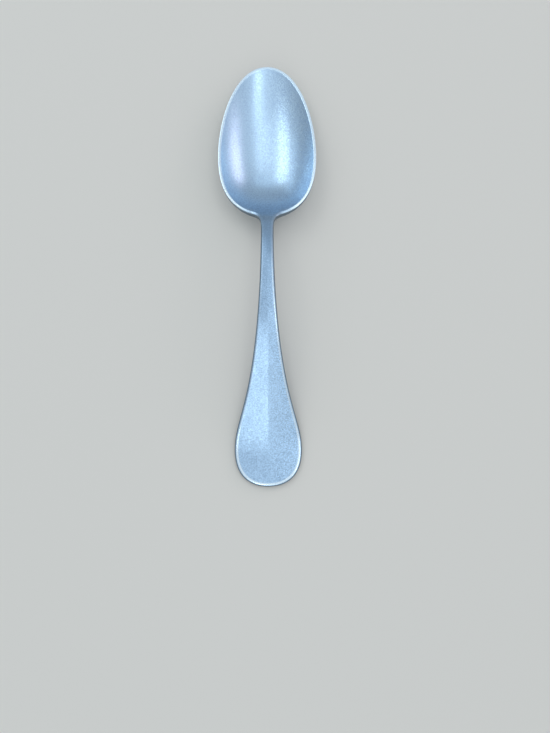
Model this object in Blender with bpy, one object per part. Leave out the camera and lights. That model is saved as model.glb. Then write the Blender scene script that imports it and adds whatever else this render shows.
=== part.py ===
"""Dessert spoon, stamped from one strip of stainless steel.

The spoon lies on its back on the table, z = 0: the bowl opens upward, the tip of the bowl points
to +Y and the end of the handle to -Y. Half of it is lofted from rib to rib around its outline, and
a mirror adds the other half.
"""

import bpy
import bmesh
import numpy as np
from mathutils import Vector
from mathutils.geometry import interpolate_bezier

for leftover in list(bpy.data.objects):
    bpy.data.objects.remove(leftover, do_unlink=True)

# Overall size, in metres
LENGTH = 0.180

# Bowl, seen from above
BOWL_WIDTH = 0.0415
BOWL_FRONT = 0.0416        # from the widest line to the tip
BOWL_REAR = 0.0272         # from the widest line back to the lip at the neck
TIP_ROUNDNESS = 0.0134     # reach of the curve across the tip
FRONT_FULLNESS = 0.0183    # reach of the curve from the widest line to the tip
REAR_FULLNESS = 0.0176     # reach of the curve from the widest line to the lip
LIP_ROUNDNESS = 0.0140     # reach of the curve across the lip

# Neck and handle, seen from above
SHOULDER_WIDTH = 0.0144    # width at which the bowl's outline turns into the neck
NECK_WIDTH = 0.0052
NECK_SETBACK = 0.0072      # from the lip to the narrowest line
NECK_FILLET = 0.0047       # reach of the curve from shoulder to neck
HANDLE_WIDTH = 0.0275
HANDLE_END = 0.0150        # from the widest line to the end
HANDLE_STRAIGHT = 0.0669   # reach of the flare from the neck
HANDLE_FLARE = 0.0147      # reach of the flare into the widest line
END_FULLNESS = 0.0098      # reach of the curve from the widest line to the end
END_ROUNDNESS = 0.0088     # reach of the curve across the end

# Bowl, seen from the side
RIM_TIP_HEIGHT = 0.0090
RIM_LIP_HEIGHT = 0.0120
BOWL_WALL = 0.0014
BOWL_HEEL = 0.0028         # wall at the lip, which thickens from the widest line back
BOWL_CURVE = 2.4           # 2 gives a round bowl, more gives a flatter floor and steeper walls
BOWL_WEAR = 0.0001         # worn off the lowest point, which leaves a small flat

# Neck and handle, seen from the side
CREST_SETBACK = 0.0350     # from the lip to the highest part of the handle
CREST_RISE = 0.0160        # table to underside
CREST_BEND = 0.0240        # reach of the curve from the crest down the handle
LIP_RISE = 0.0097
NECK_THICKNESS = 0.0038
END_THICKNESS = 0.0023
REST_FLAT = 0.0090         # length of the handle's end that lies on the table
REST_BEND = 0.0220         # reach of the curve that lifts the handle off the table
LIP_BLEND = 0.0022         # rounding where the bowl runs over the lip to the neck
HEEL_BLEND = 0.0036        # rounding where the back of the bowl meets the neck
FACET_FALL = 0.055         # slope of the two long facets beside the handle's ridge
RIDGE_SOFTNESS = 0.0003
RIDGE_END = 0.0060         # from the end of the handle to the end of the ridge
RIDGE_FADE = 0.0140        # the ridge dies away over this length
BACK_ROUNDING = 0.0006     # how far the handle's back rises at its edges
BACK_FLAT = 0.4            # share of the back's width that is flat

# Edge all round
EDGE_ROUND = 0.0011
EDGE_SHAPE = 2.0           # 2 gives a half-round edge to the handle, more gives a squarer one
RIM_SHAPE = 3.5            # the same for the rim of the bowl
EDGE_CLIMB = 0.75          # most of the edge's height that the back's slope may take up

# Lines across the spoon
TIP_Y = LENGTH / 2
WIDE_Y = TIP_Y - BOWL_FRONT
LIP_Y = WIDE_Y - BOWL_REAR
NECK_Y = LIP_Y - NECK_SETBACK
CREST_Y = LIP_Y - CREST_SETBACK
END_Y = -LENGTH / 2
FLARE_Y = END_Y + HANDLE_END
REST_Y = END_Y + REST_FLAT
BOWL_FLOOR = BOWL_WALL - BOWL_WEAR

# Fineness of the mesh: ribs along each span of the outline, and points along each rib
TIP_RIBS = 15
SIDE_RIBS = 11
FILLET_RIBS = 7
HANDLE_RIBS = 22
END_RIBS = 11
TOP_POINTS = 12
EDGE_POINTS = 9
BACK_POINTS = 9

SAMPLES = 400


def curve(start, start_guide, end_guide, end):
    """Points along a cubic curve in a plane."""
    knots = [Vector((a, b, 0.0)) for a, b in (start, start_guide, end_guide, end)]
    return np.array(interpolate_bezier(*knots, SAMPLES))[:, :2]


def evenly(path, count, values=None):
    """Values along a path, or its own points, at count places an equal distance apart."""
    values = path if values is None else values
    steps = np.hypot(*np.diff(path, axis=0).T)
    travelled = np.concatenate([[0.0], np.cumsum(steps)])
    places = np.linspace(0.0, travelled[-1], count)
    return np.column_stack([np.interp(places, travelled, column) for column in values.T])


def outward(points):
    """Unit normals of a path that runs from the tip down the right-hand side."""
    along = np.gradient(points, axis=0)
    along /= np.hypot(*along.T)[:, None]
    return np.column_stack([-along[:, 1], along[:, 0]])


def bowl_outline():
    """Right half of the bowl's closed outline, in two curves that meet on the widest line."""
    half = BOWL_WIDTH / 2
    front = curve((0.0, TIP_Y), (TIP_ROUNDNESS, TIP_Y), (half, WIDE_Y + FRONT_FULLNESS), (half, WIDE_Y))
    rear = curve((half, WIDE_Y), (half, WIDE_Y - REAR_FULLNESS), (LIP_ROUNDNESS, LIP_Y), (0.0, LIP_Y))
    return front, rear


def outline_spans():
    """The right half of the outline, from the tip of the bowl to the end of the handle."""
    front, rear = bowl_outline()
    side = rear[rear[:, 0] >= SHOULDER_WIDTH / 2]
    heading = (side[-1] - side[-2]) / np.hypot(*(side[-1] - side[-2]))
    neck = NECK_WIDTH / 2
    wide = HANDLE_WIDTH / 2
    shoulder = side[-1] + heading * NECK_FILLET
    flare = (wide, FLARE_Y + HANDLE_FLARE)
    fillet = curve(side[-1], shoulder, (neck, NECK_Y + NECK_FILLET), (neck, NECK_Y))
    handle = curve((neck, NECK_Y), (neck, NECK_Y - HANDLE_STRAIGHT), flare, (wide, FLARE_Y))
    end = curve((wide, FLARE_Y), (wide, FLARE_Y - END_FULLNESS), (END_ROUNDNESS, END_Y), (0.0, END_Y))
    return front, side, fillet, handle, end


def rim_height(y):
    """The rim is straight from the side, and rises from the tip to the lip."""
    return np.interp(y, [LIP_Y, TIP_Y], [RIM_LIP_HEIGHT, RIM_TIP_HEIGHT])


def make_bowl_surface():
    """Height of the bowl's inside at any point of the plan."""
    rim = np.vstack(bowl_outline())
    rim = rim - outward(rim) * EDGE_ROUND
    rim[0, 0] = rim[-1, 0] = 0.0
    bearings = np.arctan2(rim[:, 0], rim[:, 1] - WIDE_Y)
    reaches = np.hypot(rim[:, 0], rim[:, 1] - WIDE_Y)

    def height(x, y):
        bearing = np.arctan2(np.abs(x), y - WIDE_Y)
        reach = np.interp(bearing, bearings, reaches)
        share = np.hypot(x, y - WIDE_Y) / reach
        top = rim_height(WIDE_Y + reach * np.cos(bearing))
        return BOWL_FLOOR + (top - BOWL_FLOOR) * share ** BOWL_CURVE

    return height


def make_handle_profile():
    """Height of the handle's underside along the middle, and half its width, at any y."""
    lift = (REST_Y + REST_BEND, 0.0)
    rise = curve((REST_Y, 0.0), lift, (CREST_Y - CREST_BEND, CREST_RISE), (CREST_Y, CREST_RISE))
    bend = ((CREST_Y + LIP_Y) / 2, CREST_RISE)
    drop = curve((CREST_Y, CREST_RISE), bend, bend, (LIP_Y, LIP_RISE))
    underside = np.vstack([rise, drop, [drop[-1] * 2 - bend]])
    front, side, fillet, handle, end = outline_spans()
    edge = np.vstack([fillet, handle])[::-1]

    def profile(y):
        return np.interp(y, underside[:, 0], underside[:, 1])

    def half_width(y):
        return np.interp(y, edge[:, 1], edge[:, 0])

    return profile, half_width


bowl_inside = make_bowl_surface()
handle_underside, handle_half_width = make_handle_profile()


def soft_minimum(a, b, blend):
    """The lower of two heights, rounded where they cross."""
    overlap = np.maximum(blend - np.abs(a - b), 0.0) / blend
    return np.minimum(a, b) - overlap ** 2 * blend / 4


def slope_of(surface, x, y):
    """Slopes of a height surface along X and Y."""
    step = EDGE_ROUND / 20
    across = (surface(x + step, y) - surface(x - step, y)) / (2 * step)
    along = (surface(x, y + step) - surface(x, y - step)) / (2 * step)
    return across, along


def past_lip(y):
    """Lifts the handle's faces clear of the bowl once they have passed the lip."""
    return np.maximum(y - LIP_Y - LIP_BLEND, 0.0)


def handle_thickness(y):
    share = np.clip((y - REST_Y) / (CREST_Y - REST_Y), 0.0, 1.0)
    return END_THICKNESS + (NECK_THICKNESS - END_THICKNESS) * share ** 2 * (3 - 2 * share)


def top_surface(x, y):
    """Upper face: the inside of the bowl, running over the lip to the two facets of the handle."""
    fade = np.clip((y - END_Y - RIDGE_END) / RIDGE_FADE, 0.0, 1.0)
    fall = FACET_FALL * (np.hypot(x, RIDGE_SOFTNESS) - RIDGE_SOFTNESS) * fade
    handle = handle_underside(y) + handle_thickness(y) - fall + past_lip(y)
    return soft_minimum(bowl_inside(x, y), handle, LIP_BLEND)


def bowl_wall(y):
    behind = np.clip((WIDE_Y - y) / BOWL_REAR, 0.0, 1.0)
    return BOWL_WALL + (BOWL_HEEL - BOWL_WALL) * behind ** 2


def back_surface(x, y):
    """Under face: the back of the bowl, running over the heel to the back of the handle."""
    across, along = slope_of(bowl_inside, x, y)
    bowl = bowl_inside(x, y) - bowl_wall(y) * np.sqrt(1 + across ** 2 + along ** 2)
    beyond = np.maximum(np.abs(x) / handle_half_width(y) - BACK_FLAT, 0.0) / (1 - BACK_FLAT)
    handle = handle_underside(y) + BACK_ROUNDING * beyond ** 2 + past_lip(y)
    return np.maximum(soft_minimum(bowl, handle, HEEL_BLEND), 0.0)


def fan(span, first, last, count):
    """Ribs along one span: start on the middle line, end on the outline and outward direction there."""
    middles = np.linspace(first, last, count)
    return list(zip(middles, evenly(span, count), evenly(span, count, outward(span))))


def ribs():
    """All ribs: the first runs along the middle line to the tip, the last along it to the end."""
    front, side, fillet, handle, end = outline_spans()
    first = TIP_Y - BOWL_WIDTH / 2
    last = END_Y + HANDLE_WIDTH / 2 - EDGE_ROUND
    found = fan(front, first, WIDE_Y, TIP_RIBS)[1:]
    found += fan(side, WIDE_Y, LIP_Y, SIDE_RIBS)[1:]
    found += fan(fillet, LIP_Y, NECK_Y, FILLET_RIBS)[1:]
    found += fan(handle, NECK_Y, FLARE_Y, HANDLE_RIBS)[1:]
    found += fan(end, FLARE_Y, last, END_RIBS)[1:-1]
    to_tip = (first, np.array([0.0, TIP_Y]), np.array([0.0, 1.0]))
    to_end = (last, np.array([0.0, END_Y]), np.array([0.0, -1.0]))
    return [to_tip] + found + [to_end]


def round_edge(top, back, direction):
    """Points round the edge, from the top face to the back face, which it meets along its slope."""
    across, along = slope_of(back_surface, back[0], back[1])
    climb = (across * direction[0] + along * direction[1]) * EDGE_ROUND
    climb = np.clip(climb, 0.0, (top[2] - back[2]) * EDGE_CLIMB)
    shape = np.interp(top[1], [NECK_Y, LIP_Y], [EDGE_SHAPE, RIM_SHAPE])
    turn = np.linspace(0.0, 1.0, EDGE_POINTS + 2)[1:-1]
    out = 1 - np.abs(1 - 2 * turn) ** shape
    down = turn ** shape / (turn ** shape + (1 - turn) ** shape)
    heights = top[2] + (back[2] + climb * out - top[2]) * down
    return np.column_stack([top[:2] + np.outer(out * EDGE_ROUND, direction), heights])


def rib_points(middle, end, direction):
    """One rib: out over the top, round the edge and back along the underside to the middle."""
    start = np.array([0.0, middle])
    inner = end - direction * EDGE_ROUND
    plan = start + (inner - start) * np.linspace(0.0, 1.0, TOP_POINTS)[:, None]
    top = np.column_stack([plan, top_surface(plan[:, 0], plan[:, 1])])
    plan = inner + (start - inner) * np.linspace(0.0, 1.0, BACK_POINTS)[:, None]
    back = np.column_stack([plan, back_surface(plan[:, 0], plan[:, 1])])
    return np.vstack([top, round_edge(top[-1], back[0], direction), back])


def loft(mesh_name, rows):
    """A sheet of quads from each row of points to the next."""
    shell = bmesh.new()
    grid = [[shell.verts.new(point) for point in row] for row in rows]
    for near, far in zip(grid[:-1], grid[1:]):
        for i in range(len(near) - 1):
            shell.faces.new((far[i], far[i + 1], near[i + 1], near[i]))
    mesh = bpy.data.meshes.new(mesh_name)
    shell.to_mesh(mesh)
    shell.free()
    return mesh


def tumbled_steel():
    material = bpy.data.materials.new("tumbled_steel")
    material.use_nodes = True
    shader = material.node_tree.nodes["Principled BSDF"]
    shader.inputs["Base Color"].default_value = (0.47, 0.56, 0.66, 1.0)
    shader.inputs["Metallic"].default_value = 1.0
    shader.inputs["Roughness"].default_value = 0.42
    return material


def build_spoon():
    half = loft("spoon", [rib_points(*rib) for rib in ribs()])
    half.shade_smooth()
    half.materials.append(tumbled_steel())
    spoon = bpy.data.objects.new("spoon", half)
    bpy.context.scene.collection.objects.link(spoon)
    mirror = spoon.modifiers.new("other_half", "MIRROR")
    mirror.use_axis[0] = True
    mirror.use_mirror_merge = True
    mirror.merge_threshold = 0.000001
    return spoon


build_spoon()
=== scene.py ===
import bpy
import math
from functools import reduce
from mathutils import Matrix, Vector


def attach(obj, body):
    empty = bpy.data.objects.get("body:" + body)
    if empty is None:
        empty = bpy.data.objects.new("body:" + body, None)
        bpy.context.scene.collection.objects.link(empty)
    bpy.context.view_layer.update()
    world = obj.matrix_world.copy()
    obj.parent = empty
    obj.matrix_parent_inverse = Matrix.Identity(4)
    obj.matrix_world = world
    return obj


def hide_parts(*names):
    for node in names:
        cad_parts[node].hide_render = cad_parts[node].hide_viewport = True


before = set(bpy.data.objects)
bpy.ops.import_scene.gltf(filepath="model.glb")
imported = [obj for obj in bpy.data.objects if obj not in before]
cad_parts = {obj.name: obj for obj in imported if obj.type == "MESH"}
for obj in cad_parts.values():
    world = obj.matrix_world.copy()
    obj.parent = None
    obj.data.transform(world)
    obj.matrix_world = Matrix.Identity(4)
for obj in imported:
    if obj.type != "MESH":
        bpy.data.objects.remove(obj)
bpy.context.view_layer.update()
scene = bpy.context.scene
print("frame loaded:", sorted(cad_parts))


class Wire:  # one value in a node tree, so that a sum in the tree is written as a sum
    def __init__(self, tree, socket):
        self.tree = tree
        self.socket = socket

    def calc(self, operation, *others):
        node = addNode(self.tree, "ShaderNodeMath", operation=operation)
        for socket, value in zip(node.inputs, (self, *others)):
            plug(self.tree, value, socket)
        return Wire(self.tree, node.outputs[0])

    def __add__(self, other):
        return self.calc("ADD", other)

    def __sub__(self, other):
        return self.calc("SUBTRACT", other)

    def __mul__(self, other):
        return self.calc("MULTIPLY", other)

    def __truediv__(self, other):
        return self.calc("DIVIDE", other)

    def __pow__(self, other):
        return self.calc("POWER", other)

    def __rsub__(self, other):
        return self * -1.0 + other

    __radd__ = __add__
    __rmul__ = __mul__

    def absolute(self):
        return self.calc("ABSOLUTE")

    def root(self):
        return self.calc("SQRT")

    def above(self, floor):
        return self.calc("MAXIMUM", floor)

    def below(self, ceiling):
        return self.calc("MINIMUM", ceiling)

    def between(self, low, high):
        return self.above(low).below(high)


def plug(tree, value, socket):  # a wire is linked, anything else is set
    if isinstance(value, Wire):
        tree.links.new(value.socket, socket)
    else:
        socket.default_value = value


def addNode(tree, kind, inputs=None, **settings):
    node = tree.nodes.new(kind)
    for name, value in settings.items():
        setattr(node, name, value)
    for name, value in (inputs or {}).items():
        plug(tree, value, node.inputs[name])
    return node


def wireFrom(tree, kind, inputs=None, out=0, **settings):  # the same, for one of its outputs
    return Wire(tree, addNode(tree, kind, inputs, **settings).outputs[out])


def join3(tree, x, y, z):
    return wireFrom(tree, "ShaderNodeCombineXYZ", {"X": x, "Y": y, "Z": z})


def split3(wire):
    node = addNode(wire.tree, "ShaderNodeSeparateXYZ", {"Vector": wire})
    return [Wire(wire.tree, socket) for socket in node.outputs]


def vectorOf(tree, operation, inputs, out=0):
    return wireFrom(tree, "ShaderNodeVectorMath", inputs, out, operation=operation)


def stretchRange(wire, low, high):
    return ((wire - low) / (high - low)).between(0.0, 1.0)


# The spoon lies on its back with the tip of the bowl to +Y, sizes in metres
spoonSizes = {
    "length": 0.180,
    "bowlWidth": 0.0415,
    "bowlFront": 0.0416,  # widest line to tip
    "bowlRear": 0.0272,  # widest line to lip
    "tipRoundness": 0.0134,
    "frontFullness": 0.0183,
    "rearFullness": 0.0176,
    "lipRoundness": 0.0140,
    "shoulderWidth": 0.0144,  # across the bowl where the neck's fillets begin
    "neckWidth": 0.0052,
    "neckSetback": 0.0072,  # lip to the slimmest line
    "neckFillet": 0.0047,
    "handleWidth": 0.0275,
    "handleEnd": 0.0150,  # widest line of the handle to its end
    "handleStraight": 0.0669,
    "handleFlare": 0.0147,
    "endFullness": 0.0098,
    "endRoundness": 0.0088,
    "rimTipHeight": 0.0090,
    "rimLipHeight": 0.0120,
    "bowlWall": 0.0014,
    "bowlHeel": 0.0028,  # wall at the lip
    "bowlFloor": 0.0013,
    "bowlCurve": 2.4,  # power of the curve from floor to rim
    "crestSetback": 0.0350,  # lip to the top of the arch
    "crestRise": 0.0160,  # underside of the arch above the table
    "crestBend": 0.0240,
    "lipRise": 0.0097,
    "neckThickness": 0.0038,
    "endThickness": 0.0023,
    "restFlat": 0.0090,  # end of the handle that lies on the table
    "restBend": 0.0220,
    "lipBlend": 0.0033,
    "heelBlend": 0.0054,
    "facetFall": 0.055,  # slope from the middle ridge to the edges
    "ridgeSoftness": 0.0003,
    "ridgeEnd": 0.0060,
    "ridgeFade": 0.0140,
    "backRounding": 0.0006,
    "backFlat": 0.4,  # flat share of the handle's back
    "edgeRound": 0.0011,
    "edgeClimb": 0.75,
    "edgeShape": 2.0,  # half-round on the handle
    "rimShape": 3.5,  # squarer on the bowl
    "ribsPerSpan": 56,
    "stations": 96,  # points round one rib, from the top's middle to the back's
    "topShare": 0.5,  # share of them on the top, then on the edge
    "edgeShare": 0.2,
    "crowding": 0.8,  # how far the top's points crowd to the ridge and the rim
    "wornFrom": 0.05,  # wear with a painted highlight, in shares of the edge from the top to the back
    "wornHandle": 0.16,
    "wornRim": 0.32,
    "wornFade": 0.06,
    # painted shade on the side of the edge: where it ends and how fast it fades
    "sideShadeEnd": 0.95,
    "sideShadeFade": 0.15,
    "rubWidth": 0.035,  # share of the handle's half width
    "rubSteepness": 2.0,
    "slimStart": 0.004,  # the neck and the slim part of the handle rub less and get less of the painted highlight
    "slimLength": 0.058,
    "slimSpared": 0.85,
}
outlineSpans = 5
railSteps = {  # points in each span of a rail
    "outline": spoonSizes["ribsPerSpan"],
    "spine": spoonSizes["ribsPerSpan"],
    "rim": 240,
    "underside": 120,
}
overrun = 0.005  # how far the underside runs past the end, so that every ray meets it
lipOverrun = 0.004  # how far the handle's underside is followed past the lip
lipRelease = 2 / 3  # share of the lip's blend after which the handle's faces rise off the bowl
leastFacing = 0.2  # keeps the wall's slope in bounds where the rim runs along the bearing
wallReach = 0.02
tiny = 0.000001
halvings = 50

tipLine = spoonSizes["length"] / 2
wideLine = tipLine - spoonSizes["bowlFront"]
lipLine = wideLine - spoonSizes["bowlRear"]
neckLine = lipLine - spoonSizes["neckSetback"]
crestLine = lipLine - spoonSizes["crestSetback"]
endLine = -tipLine
flareLine = endLine + spoonSizes["handleEnd"]
restLine = endLine + spoonSizes["restFlat"]


def flat(*points):
    return [Vector((x, y, 0.0)) for x, y in points]


def upright(*points):
    return [Vector((0.0, y, z)) for y, z in points]


def straight(start, end):
    return [start, start.lerp(end, 1 / 3), start.lerp(end, 2 / 3), end]


def cutSpan(span, width):  # the first part of a span, to where it is this far from the middle
    low, high = 0.0, 1.0
    for _ in range(halvings):
        share = (low + high) / 2
        a = [p.lerp(q, share) for p, q in zip(span, span[1:])]
        b = [p.lerp(q, share) for p, q in zip(a, a[1:])]
        point = b[0].lerp(b[1], share)
        low, high = (share, high) if point.x > width else (low, share)
    return [span[0], a[0], b[0], point]


def drawRail(name, spans):  # one Bezier curve through spans of start, two handles and end
    curve = bpy.data.curves.new(name, "CURVE")
    curve.dimensions = "3D"
    spline = curve.splines.new("BEZIER")
    spline.resolution_u = railSteps[name]
    spline.bezier_points.add(len(spans))
    knots = spline.bezier_points
    for knot in knots:
        knot.handle_left_type = knot.handle_right_type = "FREE"
    for near, far, (start, leaving, arriving, end) in zip(knots, knots[1:], spans):
        near.co, near.handle_right = start, leaving
        far.handle_left, far.co = arriving, end
    knots[0].handle_left = knots[0].co
    knots[-1].handle_right = knots[-1].co
    rail = bpy.data.objects.new(name, curve)
    scene.collection.objects.link(rail)
    return rail


def drawRails(s):
    bowl, neck, wide = s["bowlWidth"] / 2, s["neckWidth"] / 2, s["handleWidth"] / 2
    front = flat((0, tipLine), (s["tipRoundness"], tipLine),
                 (bowl, wideLine + s["frontFullness"]), (bowl, wideLine))
    rear = flat((bowl, wideLine), (bowl, wideLine - s["rearFullness"]),
                (s["lipRoundness"], lipLine), (0, lipLine))
    side = cutSpan(rear, s["shoulderWidth"] / 2)
    heading = (side[3] - side[2]).normalized() * s["neckFillet"]
    fillet = [side[3], side[3] + heading,
              *flat((neck, neckLine + s["neckFillet"]), (neck, neckLine))]
    handle = flat((neck, neckLine), (neck, neckLine - s["handleStraight"]),
                  (wide, flareLine + s["handleFlare"]), (wide, flareLine))
    end = flat((wide, flareLine), (wide, flareLine - s["endFullness"]),
               (s["endRoundness"], endLine), (0, endLine))
    middles = flat(*((0, y) for y in (tipLine - bowl, wideLine, lipLine, neckLine, flareLine,
                                      endLine + wide - s["edgeRound"])))
    rest = straight(*upright((endLine - overrun, 0), (restLine, 0)))
    rise = upright((restLine, 0), (restLine + s["restBend"], 0),
                   (crestLine - s["crestBend"], s["crestRise"]), (crestLine, s["crestRise"]))
    bend = ((crestLine + lipLine) / 2, s["crestRise"])
    drop = upright((crestLine, s["crestRise"]), bend, bend, (lipLine, s["lipRise"]))
    beyond = straight(drop[3], drop[3] * 2 - drop[2])
    return {
        "outline": drawRail("outline", [front, side, fillet, handle, end]),
        "spine": drawRail("spine", [straight(a, b) for a, b in zip(middles, middles[1:])]),
        "rim": drawRail("rim", [front, rear]),
        "underside": drawRail("underside", [rest, rise, drop, beyond]),
    }


def wallFrom(tree, curve, offset):  # a curve pulled out into a wall
    edges = wireFrom(tree, "GeometryNodeCurveToMesh", {"Curve": curve})
    pulled = {"Mesh": edges, "Offset": join3(tree, *offset), "Offset Scale": 1.0}
    return wireFrom(tree, "GeometryNodeExtrudeMesh", pulled, "Mesh", mode="EDGES")


def castOn(tree, wall, start, direction):  # where a ray meets a wall, the wall's normal, how far
    ray = addNode(tree, "GeometryNodeRaycast", {
        "Target Geometry": wall, "Source Position": start, "Ray Direction": direction,
        "Ray Length": 1.0})
    return [Wire(tree, ray.outputs[name])
            for name in ("Hit Position", "Hit Normal", "Hit Distance")]


def buildPress(rails, sizes, steel):
    tree = bpy.data.node_groups.new("spoonPress", "GeometryNodeTree")
    tree.interface.new_socket("Geometry", in_out="OUTPUT", socket_type="NodeSocketGeometry")
    entry = tree.nodes.new("NodeGroupInput")
    inputIds = {}
    kinds = {int: "NodeSocketInt", float: "NodeSocketFloat", bpy.types.Object: "NodeSocketObject"}
    for name, value in {**rails, **sizes}.items():
        socket = tree.interface.new_socket(name, in_out="INPUT", socket_type=kinds[type(value)])
        inputIds[name] = socket.identifier
    s = {name: Wire(tree, entry.outputs[name]) for name in inputIds}

    def railCurve(name):
        shape = wireFrom(tree, "GeometryNodeObjectInfo", {"Object": s[name]}, "Geometry")
        return wireFrom(tree, "GeometryNodeResampleCurve", {"Curve": shape}, mode="EVALUATED")

    outline, spine, rim, underside = (railCurve(name) for name in rails)
    position = wireFrom(tree, "GeometryNodeInputPosition")
    tangent = wireFrom(tree, "GeometryNodeInputTangent")

    # a flat sheet: one rib for each point of the outline, stations round each rib
    grid = wireFrom(tree, "GeometryNodeMeshGrid", {
        "Size X": 1.0, "Size Y": 1.0, "Vertices X": s["ribs"], "Vertices Y": s["stations"]})
    along, across, _ = split3(position)
    rib = ((along + 0.5) * (s["ribs"] - 1.0)).calc("ROUND")
    around = across + 0.5

    def atRib(curve, value):
        return split3(wireFrom(tree, "GeometryNodeSampleIndex", {
            "Geometry": curve, "Value": value, "Index": rib}, data_type="FLOAT_VECTOR"))

    edgeX, edgeY, _ = atRib(outline, position)
    _, middleY, _ = atRib(spine, position)
    tangentX, tangentY, _ = atRib(outline, tangent)
    outX, outY = tangentY * -1.0, tangentX
    innerX = edgeX - outX * s["edgeRound"]
    innerY = edgeY - outY * s["edgeRound"]

    backStart = s["topShare"] + s["edgeShare"]
    overTop = (around / s["topShare"]).between(0.0, 1.0)
    overEdge = ((around - s["topShare"]) / s["edgeShare"]).between(0.0, 1.0)
    overBack = ((around - backStart) / (1.0 - backStart)).between(0.0, 1.0)
    crowded = overTop - (overTop * math.tau).calc("SINE") * s["crowding"] / math.tau
    reachOut = crowded * (1.0 - overBack)
    x = innerX * reachOut
    y = middleY + (innerY - middleY) * reachOut
    sideways = x.absolute()

    # inside of the bowl: one curve from floor to rim in every direction from its centre
    slopeX, slopeY, _ = split3(tangent)
    rimIn = vectorOf(tree, "SCALE", {0: join3(tree, slopeY, slopeX * -1.0, 0.0),
                                     "Scale": s["edgeRound"]})
    rimLine = wireFrom(tree, "GeometryNodeSetPosition", {"Geometry": rim, "Offset": rimIn})
    rimWall = wallFrom(tree, rimLine, (0.0, 0.0, wallReach))
    bearing = join3(tree, sideways + tiny, y - s["wideLine"], 0.0)
    centre = join3(tree, 0.0, s["wideLine"], wallReach / 2)
    rimHit, rimNormal, reach = castOn(tree, rimWall, centre, bearing)
    reach = reach.above(tiny)
    share = vectorOf(tree, "LENGTH", {0: bearing}, "Value") / reach
    towardTip = (split3(rimHit)[1] - s["lipLine"]) / (s["tipLine"] - s["lipLine"])
    rimZ = s["rimLipHeight"] + (s["rimTipHeight"] - s["rimLipHeight"]) * towardTip
    depth = rimZ - s["bowlFloor"]
    bowl = s["bowlFloor"] + depth * share ** s["bowlCurve"]
    pointing = vectorOf(tree, "NORMALIZE", {0: bearing})
    facing = vectorOf(tree, "DOT_PRODUCT", {0: rimNormal, 1: pointing}, "Value").absolute()
    slope = depth * s["bowlCurve"] * share ** (s["bowlCurve"] - 1.0)
    slope = slope / (reach * facing.above(leastFacing))
    behind = ((s["wideLine"] - y) / (s["wideLine"] - s["lipLine"])).between(0.0, 1.0)
    wall = s["bowlWall"] + (s["bowlHeel"] - s["bowlWall"]) * behind * behind
    bowlBack = bowl - wall * (slope * slope + 1.0).root()

    # faces of the handle, carried on over the lip
    ribbon = wallFrom(tree, underside, (wallReach, 0.0, 0.0))
    overRibbon = join3(tree, wallReach / 2, y.below(s["lipLine"] + lipOverrun), -wallReach)
    low = split3(castOn(tree, ribbon, overRibbon, (0.0, 0.0, 1.0))[0])[2]
    pastLip = (y - s["lipLine"] - s["lipBlend"] * lipRelease).above(0.0)
    thickness = wireFrom(tree, "ShaderNodeMapRange", {
        "Value": y, "From Min": s["restLine"], "From Max": s["crestLine"],
        "To Min": s["endThickness"], "To Max": s["neckThickness"]}, interpolation_type="SMOOTHSTEP")
    fade = ((y - s["endLine"] - s["ridgeEnd"]) / s["ridgeFade"]).between(0.0, 1.0)
    softness = s["ridgeSoftness"]
    fall = ((x * x + softness * softness).root() - softness) * s["facetFall"] * fade
    handle = low + thickness - fall + pastLip
    outlineWall = wallFrom(tree, outline, (0.0, 0.0, wallReach))
    half = castOn(tree, outlineWall, join3(tree, 0.0, y, wallReach / 2), (1.0, 0.0, 0.0))[2]
    half = half.below(s["shoulderWidth"] / 2.0 + (s["neckLine"] - y).above(0.0)).above(tiny)
    bulge = (sideways / half - s["backFlat"]).above(0.0) / (1.0 - s["backFlat"])
    handleBack = low + s["backRounding"] * bulge * bulge + pastLip

    top = bowl.calc("SMOOTH_MIN", handle, s["lipBlend"])
    back = bowlBack.calc("SMOOTH_MIN", handleBack, s["heelBlend"]).above(0.0)

    # round edge from the top to the back
    ofBowl = ((handleBack - bowlBack) / s["heelBlend"] / 2.0 + 0.5).between(0.0, 1.0)
    climb = (slope * ofBowl * s["edgeRound"]).between(0.0, (top - back) * s["edgeClimb"])
    shape = wireFrom(tree, "ShaderNodeMapRange", {
        "Value": edgeY, "From Min": s["neckLine"], "From Max": s["lipLine"],
        "To Min": s["edgeShape"], "To Max": s["rimShape"]})
    out = 1.0 - (1.0 - overEdge * 2.0).absolute() ** shape
    down = overEdge ** shape
    down = down / (down + (1.0 - overEdge) ** shape)
    bow = out * s["edgeRound"]
    height = top + (back + climb * out - top) * down
    # the first and the last rib stay on the middle
    offMiddle = along.absolute().calc("LESS_THAN", 0.5 - tiny)
    placed = join3(tree, (x + outX * bow) * offMiddle, y + outY * bow, height)

    # wear and painted light: above zero a crisp line of bare metal on top of the edge with a
    # painted highlight, below zero painted shade on the side
    onBowl = stretchRange(edgeY, s["neckLine"], s["lipLine"])
    lineEnd = s["wornHandle"] + (s["wornRim"] - s["wornHandle"]) * onBowl
    rub = ((reachOut - 1.0) / s["rubWidth"] + 1.0).above(0.0) * s["rubSteepness"]
    line = (overEdge / s["wornFrom"]).above(rub * (1.0 - onBowl))
    line = line.below((lineEnd - overEdge) / s["wornFade"]).between(0.0, 1.0)
    slim = stretchRange(edgeY, s["neckLine"] - s["slimLength"], s["neckLine"]).below(
        stretchRange(s["lipLine"] + s["slimStart"] - edgeY, 0.0, s["slimStart"]))
    # painted shade on the side of the edge
    side = ((overEdge - lineEnd) / s["wornFade"]).below((s["sideShadeEnd"] - overEdge) / s["sideShadeFade"])
    side = side.between(0.0, 1.0)
    wornAndPaintedLight = line * (1.0 - slim * s["slimSpared"]) - side
    marked = wireFrom(tree, "GeometryNodeStoreNamedAttribute", {
        "Geometry": grid, "Name": "edgeWear", "Value": wornAndPaintedLight}, data_type="FLOAT", domain="POINT")

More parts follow.
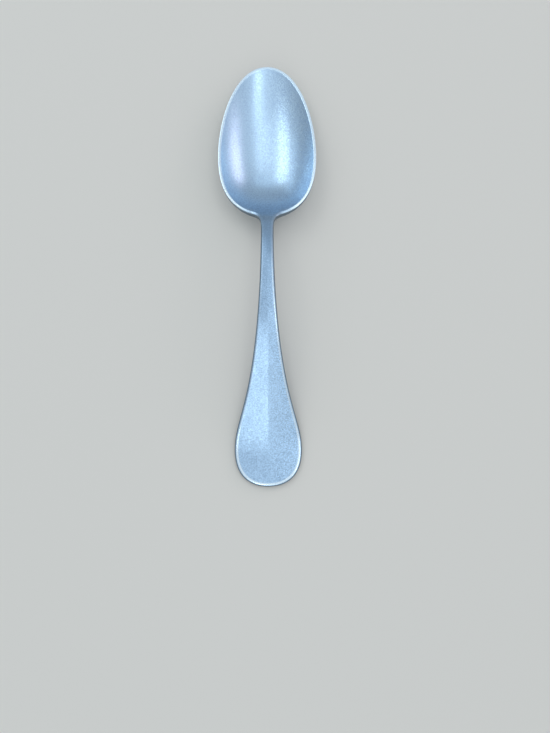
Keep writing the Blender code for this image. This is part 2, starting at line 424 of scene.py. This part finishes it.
    # the sheet takes its shape, and its mirror image closes it
    shaped = wireFrom(tree, "GeometryNodeSetPosition", {"Geometry": marked, "Position": placed})
    mirrored = wireFrom(tree, "GeometryNodeTransform", {
        "Geometry": shaped, "Scale": (-1.0, 1.0, 1.0)})
    mirrored = wireFrom(tree, "GeometryNodeFlipFaces", {"Mesh": mirrored})
    halves = addNode(tree, "GeometryNodeJoinGeometry")
    plug(tree, shaped, halves.inputs[0])
    plug(tree, mirrored, halves.inputs[0])
    whole = wireFrom(tree, "GeometryNodeMergeByDistance", {
        "Geometry": Wire(tree, halves.outputs[0]), "Distance": tiny})
    smooth = wireFrom(tree, "GeometryNodeSetShadeSmooth", {"Geometry": whole})
    real = wireFrom(tree, "GeometryNodeRealizeInstances", {"Geometry": smooth})
    dressed = wireFrom(tree, "GeometryNodeSetMaterial", {"Geometry": real, "Material": steel})
    plug(tree, dressed, tree.nodes.new("NodeGroupOutput").inputs[0])
    return tree, inputIds


def pressSpoon(steel):
    rails = drawRails(spoonSizes)
    sizes = {name: spoonSizes[name] for name in (
        "shoulderWidth", "rimTipHeight", "rimLipHeight", "bowlWall", "bowlHeel", "bowlFloor",
        "bowlCurve", "neckThickness", "endThickness", "lipBlend", "heelBlend", "facetFall",
        "ridgeSoftness", "ridgeEnd", "ridgeFade", "backRounding", "backFlat", "edgeRound",
        "edgeClimb", "edgeShape", "rimShape", "stations", "topShare", "edgeShare", "crowding",
        "wornFrom", "wornHandle", "wornRim", "wornFade", "sideShadeEnd", "sideShadeFade", "rubWidth",
        "rubSteepness", "slimStart", "slimLength", "slimSpared")}
    sizes.update(tipLine=tipLine, wideLine=wideLine, lipLine=lipLine, neckLine=neckLine,
                 crestLine=crestLine, restLine=restLine, endLine=endLine,
                 ribs=spoonSizes["ribsPerSpan"] * outlineSpans + 1)
    tree, inputIds = buildPress(rails, sizes, steel)
    blank = bpy.data.objects.new("spoonBlank", bpy.data.meshes.new("spoonBlank"))
    scene.collection.objects.link(blank)
    press = blank.modifiers.new("press", "NODES")
    press.node_group = tree
    for name, value in {**rails, **sizes}.items():
        press[inputIds[name]] = value
    view = bpy.context.evaluated_depsgraph_get()
    mesh = bpy.data.meshes.new_from_object(blank.evaluated_get(view), depsgraph=view)
    mesh.name = "spoonBody"
    blank.modifiers.remove(press)
    for spent in (blank, *rails.values()):
        bpy.data.objects.remove(spent)
    spoon = bpy.data.objects.new("spoonBody", mesh)
    scene.collection.objects.link(spoon)
    return spoon


# Tumbled stainless steel: dull between fine dimples, brighter where the edges rub bare and carry a
# painted highlight, with painted shade and glints where the light falls unevenly
steelLook = {
    "bright": (0.590, 0.755, 0.930, 1.0),
    "dull": (0.310, 0.415, 0.535, 1.0),
    "bowlBright": (0.71, 0.88, 1.0, 1.0),  # the bowl is finished finer than the handle, and its brighter colour is also painted light, for the light the hollow gathers
    "bowlDull": (0.45, 0.57, 0.74, 1.0),
    "bowlFrom": 0.018,  # lip to where the bowl has its own finish and painted light
    "neckShade": 0.50,  # painted shade: the neck is darker, for the dim light it reflects
    "neckFade": 0.010,
    "neckLipFade": 0.008,
    # bare metal on the edges, with a painted highlight
    "bareAndHighlight": (0.90, 0.97, 1.0, 1.0),
    "bareHighlightStrength": 0.8,
    "bareGrain": 0.3,
    "sideShade": (0.20, 0.245, 0.29, 1.0),  # painted shade on the sides of the blank, for the dark reflection and contact shadow along the edges
    "sideShadeStrength": 0.9,
    "leftShade": 0.75,  # painted shade: the bright edge line is weaker on the left of the handle, where less light falls
    "leftFade": 0.002,
    "leftEndFade": 0.012,
    "leftLipFade": 0.004,
    "rightGlint": 0.5,  # painted glint: the speckle is stronger on the right, where the side light catches the dimples
    "glintReach": 0.006,
    "roughness": 0.33,
    "bowlRoughness": 0.31,
    "bareRoughness": 0.20,
    "cutRoughness": 0.46,
    "roughnessSpread": 0.12,
    "dimpleDepth": 0.000009,
    "fineDepth": 0.4,  # shares of a dimple's depth
    "scratchDepth": 0.5,
    "bareSmooth": 0.8,
    "speckle": {  # size of one fleck, span of the noise that shows, share of the whole
        "grain": {"size": 0.00052, "detail": 1.0, "span": (0.32, 0.68), "share": 0.55},
        "fine": {"size": 0.00022, "detail": 2.0, "span": (0.3, 0.7), "share": 0.4},
        "blotch": {"size": 0.0021, "detail": 2.0, "span": (0.3, 0.7), "share": 0.08},
        "cloud": {"size": 0.0085, "detail": 3.0, "span": (0.35, 0.65), "share": 0.07},
    },
    "scratchLength": 0.011,
    "scratchWidth": 0.00016,
    "scratchDetail": 2.0,
    "scratchShare": 0.15,
    "scratchRuns": (  # lengthwise, slanting and crossing
        {"turn": 0.0, "span": (0.62, 0.72), "strength": 0.6},
        {"turn": 0.6, "span": (0.66, 0.74), "strength": 1.0},
        {"turn": -0.9, "span": (0.66, 0.74), "strength": 1.0},
    ),
}


def noiseOn(tree, where, size, detail):
    return wireFrom(tree, "ShaderNodeTexNoise", {
        "Vector": where, "Scale": 1 / size, "Detail": detail}, "Fac")


def scratchesOn(tree, where, look):
    thin = look["scratchLength"] / look["scratchWidth"]
    runs = []
    for run in look["scratchRuns"]:
        drawnOut = wireFrom(tree, "ShaderNodeMapping", {
            "Vector": where, "Rotation": (0.0, 0.0, run["turn"]), "Scale": (thin, 1.0, thin)})
        noise = noiseOn(tree, drawnOut, look["scratchLength"], look["scratchDetail"])
        runs.append(stretchRange(noise, *run["span"]) * run["strength"])
    return reduce(Wire.above, runs)  # the strongest of them


def blendColours(tree, amount, first, second):
    node = addNode(tree, "ShaderNodeMix", data_type="RGBA")
    plug(tree, amount, node.inputs["Factor"])
    colours = [socket for socket in node.inputs if socket.type == "RGBA"]
    plug(tree, first, colours[0])
    plug(tree, second, colours[1])
    return Wire(tree, next(socket for socket in node.outputs if socket.type == "RGBA"))


def makeSteel(look):
    steel = bpy.data.materials.new("tumbledSteel")
    steel.use_nodes = True
    tree = steel.node_tree
    metal = tree.nodes["Principled BSDF"]
    where = wireFrom(tree, "ShaderNodeTexCoord", out="Object")
    edgeWear = wireFrom(tree, "ShaderNodeAttribute", out="Fac", attribute_name="edgeWear")
    across, along, _ = split3(where)

    # speckle: flecks of four sizes and thin scratches, around zero
    scratches = scratchesOn(tree, where, look)
    speckle = scratches * look["scratchShare"]
    flecks = {}
    for name, fleck in look["speckle"].items():
        flecks[name] = noiseOn(tree, where, fleck["size"], fleck["detail"])
        speckle = speckle + (stretchRange(flecks[name], *fleck["span"]) - 0.5) * fleck["share"]
    # painted glint: the speckle grows stronger towards the right
    speckle = speckle * (1.0 + stretchRange(across, 0.0, look["glintReach"]) * look["rightGlint"])

    # where the colour differs: the bowl's finish, partly painted light; painted shade on the neck
    # and the left of the handle; bare edges with a painted highlight; painted shade on the sides
    inBowl = stretchRange(along, lipLine, lipLine + look["bowlFrom"])
    # painted shade on the neck, from the crest to the lip
    paintedNeckShade = stretchRange(along, crestLine - look["neckFade"], crestLine + look["neckFade"])
    paintedNeckShade = paintedNeckShade.below(stretchRange(along * -1.0, -lipLine - look["neckLipFade"], -lipLine))
    # painted shade: on the left of the handle the bright edge line is dimmed
    left = stretchRange(across * -1.0, 0.0, look["leftFade"])
    left = left * stretchRange(along, flareLine, flareLine + look["leftEndFade"])
    left = left * stretchRange(lipLine - along, 0.0, look["leftLipFade"])
    # the bright edge line: bare metal and a painted highlight
    bareAndHighlight = edgeWear * (look["bareHighlightStrength"] + flecks["grain"] * look["bareGrain"])
    bareAndHighlight = (bareAndHighlight * (1.0 - left * look["leftShade"])).between(0.0, 1.0)
    # painted shade on the sides, from the edge marks below zero
    sideShade = (edgeWear * -look["sideShadeStrength"]).between(0.0, 1.0)

    # the speckle sets the polish, and the painted shade on the neck lowers it
    polishAndNeckShade = (speckle + 0.5 - paintedNeckShade * look["neckShade"]).between(0.0, 1.0)
    onHandle = blendColours(tree, polishAndNeckShade, look["dull"], look["bright"])
    onBowl = blendColours(tree, polishAndNeckShade, look["bowlDull"], look["bowlBright"])
    colour = blendColours(tree, inBowl, onHandle, onBowl)
    colour = blendColours(tree, bareAndHighlight, colour, look["bareAndHighlight"])
    colour = blendColours(tree, sideShade, colour, look["sideShade"])
    plug(tree, colour, metal.inputs["Base Color"])

    matte = look["roughness"] + inBowl * (look["bowlRoughness"] - look["roughness"])
    matte = matte - speckle * look["roughnessSpread"]
    matte = matte + (look["bareRoughness"] - matte) * bareAndHighlight
    matte = matte + (look["cutRoughness"] - matte) * sideShade
    plug(tree, matte, metal.inputs["Roughness"])
    metal.inputs["Metallic"].default_value = 1.0

    height = flecks["grain"] - 0.5 + (flecks["fine"] - 0.5) * look["fineDepth"]
    height = (height - scratches * look["scratchDepth"]) * (1.0 - bareAndHighlight * look["bareSmooth"])
    bump = wireFrom(tree, "ShaderNodeBump", {
        "Height": height, "Distance": look["dimpleDepth"], "Strength": 1.0})
    plug(tree, bump, metal.inputs["Normal"])
    return steel


steel = makeSteel(steelLook)
print("steel mixed:", len(steel.node_tree.nodes), "nodes")
spoon = pressSpoon(steel)
print("spoon pressed:", len(spoon.data.polygons), "faces")
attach(spoon, "root")
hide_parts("spoon")


# A pale table and soft lamps round it
tableLook = {
    "reach": 1.5,
    "corners": 96,
    "drop": 0.00005,  # just under the spoon
    "colour": (0.84, 0.75, 0.66, 1.0),
    "roughness": 0.9,
    "gloss": 0.0,
}


def layTable(look):
    paint = bpy.data.materials.new("paleTable")
    paint.use_nodes = True
    surface = paint.node_tree.nodes["Principled BSDF"]
    surface.inputs["Base Color"].default_value = look["colour"]
    surface.inputs["Roughness"].default_value = look["roughness"]
    surface.inputs["Specular IOR Level"].default_value = look["gloss"]
    order = range(look["corners"])
    corner = Vector((look["reach"], 0.0, -look["drop"]))
    step = math.tau / look["corners"]
    mesh = bpy.data.meshes.new("table")
    mesh.from_pydata([Matrix.Rotation(step * i, 3, "Z") @ corner for i in order], [], [order])
    mesh.materials.append(paint)
    table = bpy.data.objects.new("table", mesh)
    scene.collection.objects.link(table)


lampTint = (0.87, 1.0, 1.08)
lamps = {  # degrees from overhead to the right and towards the tip, widths in metres, brightness
    "backLamp": {"right": -6, "ahead": -42, "widths": (0.23, 1.2), "level": 2.0},
    "windowLamp": {"right": -30, "ahead": 31, "widths": (0.60, 0.82), "level": 1.2},
    "leftLamp": {"right": -57, "ahead": 42, "widths": (0.23, 0.92), "level": 0.55,
                 "tint": (0.75, 1.0, 1.25)},
    "rightLamp": {"right": 65, "ahead": 33, "widths": (0.42, 0.62), "level": 1.35,
                  "tint": (1.0, 0.88, 1.0)},
    "overheadLamp": {"right": 18, "ahead": -2, "widths": (0.34, 0.80), "level": 1.05},
    "ceilingLamp": {"right": 6, "ahead": 23, "widths": (0.50, 0.36), "level": 0.75},
    "frontLamp": {"right": 0, "ahead": 48, "widths": (0.90, 0.36), "level": 0.30,
                  "tint": (0.75, 1.0, 1.25)},
}
lampDistance = 1.2
aimPoint = Vector((0.0, 0.0, 0.01))
skyLook = {
    "tint": (0.85, 1.0, 1.14, 1.0),
    "low": 0.22,
    "overhead": 0.54,
    "sides": 0.25,
    "sideFocus": 1.5,
    "ends": 0.22,
    "endFocus": 10.0,
    "lean": 0.08,  # more on the right than on the left
}


def hangLamps():
    for name, lamp in lamps.items():
        light = bpy.data.lights.new(name, "AREA")
        light.shape = "ELLIPSE"
        light.size, light.size_y = lamp["widths"]
        # power that gives an oval of this size its brightness
        light.energy = lamp["level"] * math.pi ** 2 / 4 * light.size * light.size_y
        light.color = lamp.get("tint", lampTint)
        holder = bpy.data.objects.new(name, light)
        holder.rotation_euler = (-math.radians(lamp["ahead"]), math.radians(lamp["right"]), 0.0)
        away = holder.rotation_euler.to_matrix() @ Vector((0.0, 0.0, lampDistance))
        holder.location = aimPoint + away
        scene.collection.objects.link(holder)


def paintSky(look):  # soft light from above, and some from the sides and low over the two ends
    sky = bpy.data.worlds.new("softSky")
    sky.use_nodes = True
    scene.world = sky
    tree = sky.node_tree
    backdrop = tree.nodes["Background"]
    across, along, up = split3(wireFrom(tree, "ShaderNodeTexCoord", out="Generated"))
    level = look["low"] + up * up * look["overhead"] + across * look["lean"]
    level = level + across.absolute() ** look["sideFocus"] * look["sides"]
    level = level + along.absolute() ** look["endFocus"] * look["ends"]
    backdrop.inputs["Color"].default_value = look["tint"]
    plug(tree, level, backdrop.inputs["Strength"])


cameraLook = {
    "place": (0.00273, -0.0756, 0.2496),
    "tilt": 8.0,  # degrees from straight down
    "swing": -0.277,
    "focalPixels": 600.0,
    "imageHeight": 733.0,
    "sensor": 24.0,
    "nearest": 0.01,
}


def setCamera(look):
    camera = bpy.data.cameras.new("camera")
    camera.sensor_fit = "VERTICAL"
    camera.sensor_height = look["sensor"]
    camera.lens = look["sensor"] * look["focalPixels"] / look["imageHeight"]
    camera.clip_start = look["nearest"]
    holder = bpy.data.objects.new("camera", camera)
    holder.location = look["place"]
    holder.rotation_euler = (math.radians(look["tilt"]), 0.0, math.radians(look["swing"]))
    scene.collection.objects.link(holder)
    scene.camera = holder


layTable(tableLook)
hangLamps()
paintSky(skyLook)
setCamera(cameraLook)
scene.view_settings.view_transform = "Standard"
print("stage set:", len(lamps), "lamps")
